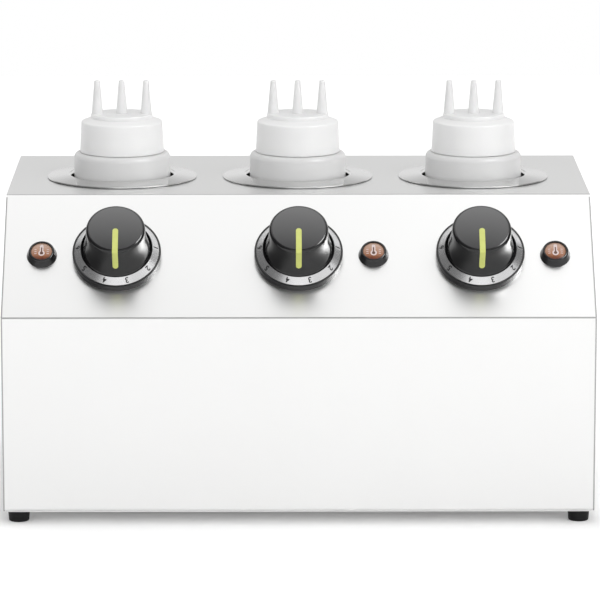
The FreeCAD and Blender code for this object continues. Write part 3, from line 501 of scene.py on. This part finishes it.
def finish_nodes():
    put(brushed_steel("casing_steel", way=(1, 0, 0), folded=True), "wrap_panel")
    put(brushed_steel("plate_steel", way=(1, 0, 0)), "rear_panel", "base_plate")
    put(brushed_steel("side_steel", way=(0, 1, 0)), "side_panel_left", "side_panel_right")
    put(spun_steel("well_steel", tone=(0.75, 0.75, 0.745), rough=0.10), *numbered("well"))
    put(plated("screw_steel", tone=(0.62, 0.62, 0.60), rough=0.28), "rear_panel_screws",
        "base_plate_screws", "foot_screws", "foot_nuts", "thermostat_screws", "band_bolts",
        "earth_stud")
    put(plated("shaft_steel", tone=(0.60, 0.60, 0.58), rough=0.22), *numbered("thermostat_shaft"))
    put(plated("band_steel", tone=(0.52, 0.51, 0.49), rough=0.38), "well_collars",
        *numbered("band_heater"))
    put(plated("tube_copper", tone=(0.72, 0.38, 0.22), rough=0.30), "capillary_tubes")
    put(dial_metal(), "dial_rings")
    put(moulded("foot_rubber", tone=(0.003, 0.003, 0.0034), rough=0.55, grain=0.00003,
                grain_scale=1200.0, ior=1.35), "rubber_feet")
    put(moulded("gland_nylon", tone=(0.020, 0.020, 0.021), rough=0.42, grain=0.00002,
                grain_scale=1500.0), "cable_gland", "gland_locknut", "lamp_nuts")
    put(moulded("block_plastic", tone=(0.78, 0.76, 0.70), rough=0.40), "terminal_block")
    put(moulded("gasket_rubber", tone=(0.16, 0.16, 0.16), rough=0.60, grain=0.00003),
        "well_gaskets")
    put(moulded("cutout_plastic", tone=(0.10, 0.045, 0.028), rough=0.45), "thermal_cutouts")
    put(moulded("thermostat_plastic", tone=(0.42, 0.42, 0.40), rough=0.42),
        *numbered("thermostat"))
    put(moulded("dial_plastic", tone=(0.008, 0.008, 0.009), rough=0.30), *numbered("dial_base"))
    put(moulded("bezel_plastic", tone=(0.012, 0.012, 0.013), rough=0.20, grain=0.000006),
        *numbered("lamp_bezel"))
    put(moulded("seal_foam", tone=(0.82, 0.82, 0.80), rough=0.75, grain=0.00004,
                grain_scale=2500.0), *numbered("cap_seal"))
    put(felted("glass_wool", tone=(0.80, 0.77, 0.62)), "insulation_jackets")
    put(knob_plastic(), *numbered("knob"))
    put(pointer_plastic(), *numbered("knob_pointer"))
    put(lens_plastic(), *numbered("lamp_lens"))
    put(natural_plastic("bottle_plastic", tone=(0.735, 0.735, 0.73), rough=0.30),
        *numbered("bottle"))
    put(natural_plastic("cap_plastic", tone=(0.875, 0.875, 0.87), rough=0.34),
        *numbered("bottle_cap"))


def panel_spot(x, right, up, height, tilt_out=0.0, turn=0.0):
    """Place on the sloping panel: along it, above it, turned about its normal and tilted."""
    centre = Vector((x, panel_centre.y, panel_centre.z))
    centre += to_the_right * right + panel_up * up + panel_normal * height
    basis = Matrix((to_the_right, panel_up, panel_normal)).transposed().to_4x4()
    return (Matrix.Translation(centre) @ basis @ Matrix.Rotation(turn, 4, "Z")
            @ Matrix.Rotation(tilt_out, 4, "X"))


def add_piece(name, mesh, material):
    mesh.materials.clear()
    mesh.materials.append(material)
    piece = bpy.data.objects.new(name, mesh)
    bpy.context.scene.collection.objects.link(piece)
    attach(piece, "housing")


def digit_mesh(text):
    """Flat number as a thin solid, its middle at the origin."""
    curve = bpy.data.curves.new(f"digit_{text}", "FONT")
    curve.body = text
    curve.align_x = "CENTER"
    curve.align_y = "CENTER"
    curve.size = digit_height / capital_share
    curve.extrude = digit_thickness / 2
    curve.offset = digit_weight
    curve.resolution_u = 6
    holder = bpy.data.objects.new(f"digit_{text}", curve)
    bpy.context.scene.collection.objects.link(holder)
    bpy.context.view_layer.update()
    shape = holder.evaluated_get(bpy.context.evaluated_depsgraph_get())
    mesh = bpy.data.meshes.new_from_object(shape)
    bpy.data.objects.remove(holder)
    low = [min(vertex.co[axis] for vertex in mesh.vertices) for axis in range(3)]
    high = [max(vertex.co[axis] for vertex in mesh.vertices) for axis in range(3)]
    middle = Vector([(low[axis] + high[axis]) / 2 for axis in range(3)])
    mesh.transform(Matrix.Translation(-middle))
    return mesh


def dial_numbers(black):
    """Numbers one to six round the lower half of each dial, their tops outwards."""
    ring_tilt = math.atan2(ring_high - ring_low, ring_outer - ring_inner)
    radius = (ring_outer + ring_inner) / 2
    height = (ring_high + ring_low) / 2
    for channel in channels:
        x = joints[f"knob_{channel}_turn"]["pos_m"][0]
        for text, degrees in digit_angles.items():
            angle = math.radians(degrees)
            right = radius * math.sin(angle)
            up = -radius * math.cos(angle)
            spot = panel_spot(x, right, up, height, -ring_tilt, math.pi + angle)
            mesh = digit_mesh(text)
            mesh.transform(spot)
            add_piece(f"dial_{channel}_number_{text}", mesh, black)


def plate(outline, holes=()):
    """Thin plate from a closed outline, with holes, as a mesh standing on its own plane."""
    made = bmesh.new()
    edges = []
    for loop in (outline, *holes):
        points = [made.verts.new((x, y, 0.0)) for x, y in loop]
        edges += [made.edges.new((points[index - 1], points[index]))
                  for index in range(len(points))]
    bmesh.ops.triangle_fill(made, use_beauty=True, use_dissolve=False, edges=edges)
    raised = bmesh.ops.extrude_face_region(made, geom=made.faces[:])
    top = [item for item in raised["geom"] if isinstance(item, bmesh.types.BMVert)]
    bmesh.ops.translate(made, verts=top, vec=(0.0, 0.0, sign_thickness))
    bmesh.ops.recalc_face_normals(made, faces=made.faces[:])
    mesh = bpy.data.meshes.new("plate")
    made.to_mesh(mesh)
    made.free()
    return mesh


def thermometer(radius, half_width, top, steps=28):
    """Outline of a thermometer: a round bulb with a straight stem that ends in a half circle."""
    join = math.asin(half_width / radius)
    start = math.pi / 2 - join
    sweep = 2 * math.pi - 2 * join
    bulb = [(radius * math.cos(start - sweep * step / steps),
             radius * math.sin(start - sweep * step / steps) - bulb_drop)
            for step in range(steps + 1)]
    cap = [(-half_width * math.cos(math.pi * step / steps),
            top - half_width + half_width * math.sin(math.pi * step / steps))
           for step in range(steps + 1)]
    return bulb + cap


def round_bar(x, y, length, width, steps=8):
    """Outline of a level bar with round ends, its middle at the given point."""
    half = length / 2 - width / 2
    right = [(x + half + width / 2 * math.sin(math.pi * step / steps),
              y + width / 2 * math.cos(math.pi * step / steps)) for step in range(steps + 1)]
    left = [(x - half - width / 2 * math.sin(math.pi * step / steps),
             y - width / 2 * math.cos(math.pi * step / steps)) for step in range(steps + 1)]
    return right + left


def drape(mesh):
    """Lay a flat sign on the lens's dome."""
    dome_radius = (lens_radius ** 2 + lens_dome ** 2) / (2 * lens_dome)
    for vertex in mesh.vertices:
        vertex.co.z -= (vertex.co.x ** 2 + vertex.co.y ** 2) / (2 * dome_radius)


def lamp_signs(white, dark):
    """Thermometer and level marks on each lens."""
    outer = thermometer(bulb_radius, stem_half_width, stem_top)
    inner = thermometer(mercury_radius, mercury_width / 2, mercury_top)
    halo = thermometer(mercury_radius + mercury_edge, mercury_width / 2 + mercury_edge,
                       mercury_top + mercury_edge)
    for channel in channels:
        low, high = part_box(f"lamp_lens_{channel}")
        spot = panel_spot((low.x + high.x) / 2, 0.0, 0.0, lens_top + sign_lift)
        pieces = [("sign", plate(outer, [halo]), white), ("mercury", plate(inner), dark)]
        for side, word in ((-1, "left"), (1, "right")):
            for row, y in enumerate(tick_rows):
                mark = plate(round_bar(side * tick_offset, y, tick_length, tick_width))
                pieces.append((f"mark_{word}_{row + 1}", mark, white))
        for name, mesh, material in pieces:
            drape(mesh)
            mesh.transform(spot)
            add_piece(f"lamp_{channel}_{name}", mesh, material)


def add_camera():
    data = bpy.data.cameras.new("camera")
    data.sensor_width = camera_sensor
    data.lens = camera_lens
    data.clip_end = 100.0
    camera = bpy.data.objects.new("camera", data)
    camera.location = camera_place
    camera.rotation_euler = (math.radians(90 - camera_pitch), 0.0, math.radians(-camera_yaw))
    bpy.context.scene.collection.objects.link(camera)
    bpy.context.scene.camera = camera


def soft_light(name, place, aim, width, height, radiance, gloss=False, diffuse=False):
    """Softbox of a given brightness, turned to its aim and not itself in any picture."""
    data = bpy.data.lights.new(name, "AREA")
    data.shape = "RECTANGLE"
    data.size = width
    data.size_y = height
    data.energy = radiance * math.pi * width * height
    lamp = bpy.data.objects.new(name, data)
    lamp.location = place
    lamp.rotation_euler = (Vector(aim) - Vector(place)).to_track_quat("-Z", "Y").to_euler()
    lamp.visible_camera = False
    lamp.visible_glossy = gloss
    lamp.visible_diffuse = diffuse
    bpy.context.scene.collection.objects.link(lamp)


def add_world():
    """White room to the camera, a toned one in gloss, and an even low light for everything."""
    world = bpy.data.worlds.new("studio")
    world.use_nodes = True
    graph = Graph(world.node_tree)
    split = graph.node("ShaderNodeSeparateXYZ")
    graph.feed(split.inputs[0], graph.node("ShaderNodeTexCoord").outputs["Generated"])
    sideways, backward, upward = split.outputs
    level = graph.range(upward, back_low_tone, back_level_tone, back_low_end, back_level_start)
    behind = graph.range(upward, level, back_tone, back_level_end, back_high_start)
    horizon = graph.range(backward, front_tone, behind, front_end, back_start)
    across = graph.range(sideways, left_tone, right_tone, left_end, right_start)
    upper = graph.range(backward, across, back_upper_tone, upper_back_start, upper_back_end)
    aside = graph.maths("MULTIPLY", graph.maths("ABSOLUTE", sideways), side_rise)
    rise = graph.maths("ADD", upward, aside)
    tone = graph.blend(graph.range(rise, 0.0, 1.0, upper_start, upper_end), horizon, upper)
    lit = graph.blend(graph.seen(), (room_light, room_light, room_light), tone)
    camera = graph.node("ShaderNodeLightPath").outputs["Is Camera Ray"]
    graph.feed(world.node_tree.nodes["Background"].inputs["Color"],
               graph.blend(camera, lit, (1.0, 1.0, 1.0)))
    bpy.context.scene.world = world


def add_floor():
    """Pale floor that keeps the shadow and is lifted to white away from the model; its weaker glow
    close to the model is painted shade.
    """
    mesh = bpy.data.meshes.new("floor")
    corners = [(side * floor_half, end * floor_half, 0.0)
               for side, end in ((-1, -1), (1, -1), (1, 1), (-1, 1))]
    mesh.from_pydata(corners, [], [(0, 1, 2, 3)])
    floor = bpy.data.objects.new("floor", mesh)
    bpy.context.scene.collection.objects.link(floor)
    finish = Finish("floor", base_color=(floor_tone, floor_tone, floor_tone), roughness=0.9,
                    emission_color=(1.0, 1.0, 1.0))
    distance = finish.length(finish.beyond(to_the_right, casing_end),
                             finish.beyond(to_the_back, casing_back))
    # Glow weakest under and beside the casing, as painted shade round the model.
    near = finish.range(distance, floor_glow_under, floor_glow_near, 0.0, floor_near)
    far = finish.range(distance, 0.0, floor_glow_far - floor_glow_near, floor_near, floor_far)
    glow = finish.maths("ADD", near, far)
    strength = finish.maths("MULTIPLY", finish.seen(), glow)
    finish.feed(finish.shader.inputs["Emission Strength"], strength)
    mesh.materials.append(finish.material)


def add_card(name, x, front, back, height):
    """Grey card beside the model that only its glossy surfaces see, to draw their edges."""
    mesh = bpy.data.meshes.new(name)
    mesh.from_pydata([(x, front, 0.0), (x, back, 0.0), (x, back, height), (x, front, height)], [],
                     [(0, 1, 2, 3)])
    card = bpy.data.objects.new(name, mesh)
    bpy.context.scene.collection.objects.link(card)
    finish = Finish(name, base_color=(0.0, 0.0, 0.0), roughness=1.0,
                    emission_color=(card_tone, card_tone, card_tone), emission_strength=1.0)
    mesh.materials.append(finish.material)
    for way in ("camera", "diffuse", "shadow", "transmission"):
        setattr(card, f"visible_{way}", False)


def add_lights():
    """One set of softboxes lights the matt surfaces; another one and two cards show in gloss."""
    middle = (0.0, 0.0, 0.15)
    panel = (0.0, -0.1, 0.2)
    soft_light("top_light", place=(0.0, 0.1, 2.0), aim=(0.0, 0.1, 0.0), width=2.6, height=1.3,
               radiance=0.30, diffuse=True)
    soft_light("front_light", place=(0.2, -3.4, 1.75), aim=middle, width=2.4, height=1.3,
               radiance=2.3, diffuse=True)
    soft_light("side_light", place=(1.9, -1.7, 1.4), aim=middle, width=1.6, height=1.6,
               radiance=2.0, diffuse=True)
    soft_light("top_sheen", place=(-0.5, 0.05, 1.95), aim=(-0.5, 0.05, 0.0), width=2.6,
               height=1.5, radiance=1.13, gloss=True)
    soft_light("front_sheen", place=(0.2, -3.35, 1.72), aim=middle, width=2.4, height=1.3,
               radiance=0.68, gloss=True)
    soft_light("side_sheen", place=(1.27, -0.90, 1.81), aim=panel, width=0.80, height=0.80,
               radiance=14.0, gloss=True)
    add_card("card_left", x=-1.0, front=-1.1, back=0.5, height=0.9)
    add_card("card_right", x=1.0, front=-0.3, back=0.5, height=0.9)


finish_nodes()
dial_numbers(ink("number_ink", tone=(0.012, 0.012, 0.013)))
lamp_signs(ink("sign_ink", tone=(0.72, 0.60, 0.58)), ink("mercury_ink", tone=(0.10, 0.035, 0.02)))
add_camera()
add_world()
add_floor()
add_lights()
bpy.context.scene.view_settings.view_transform = "Standard"
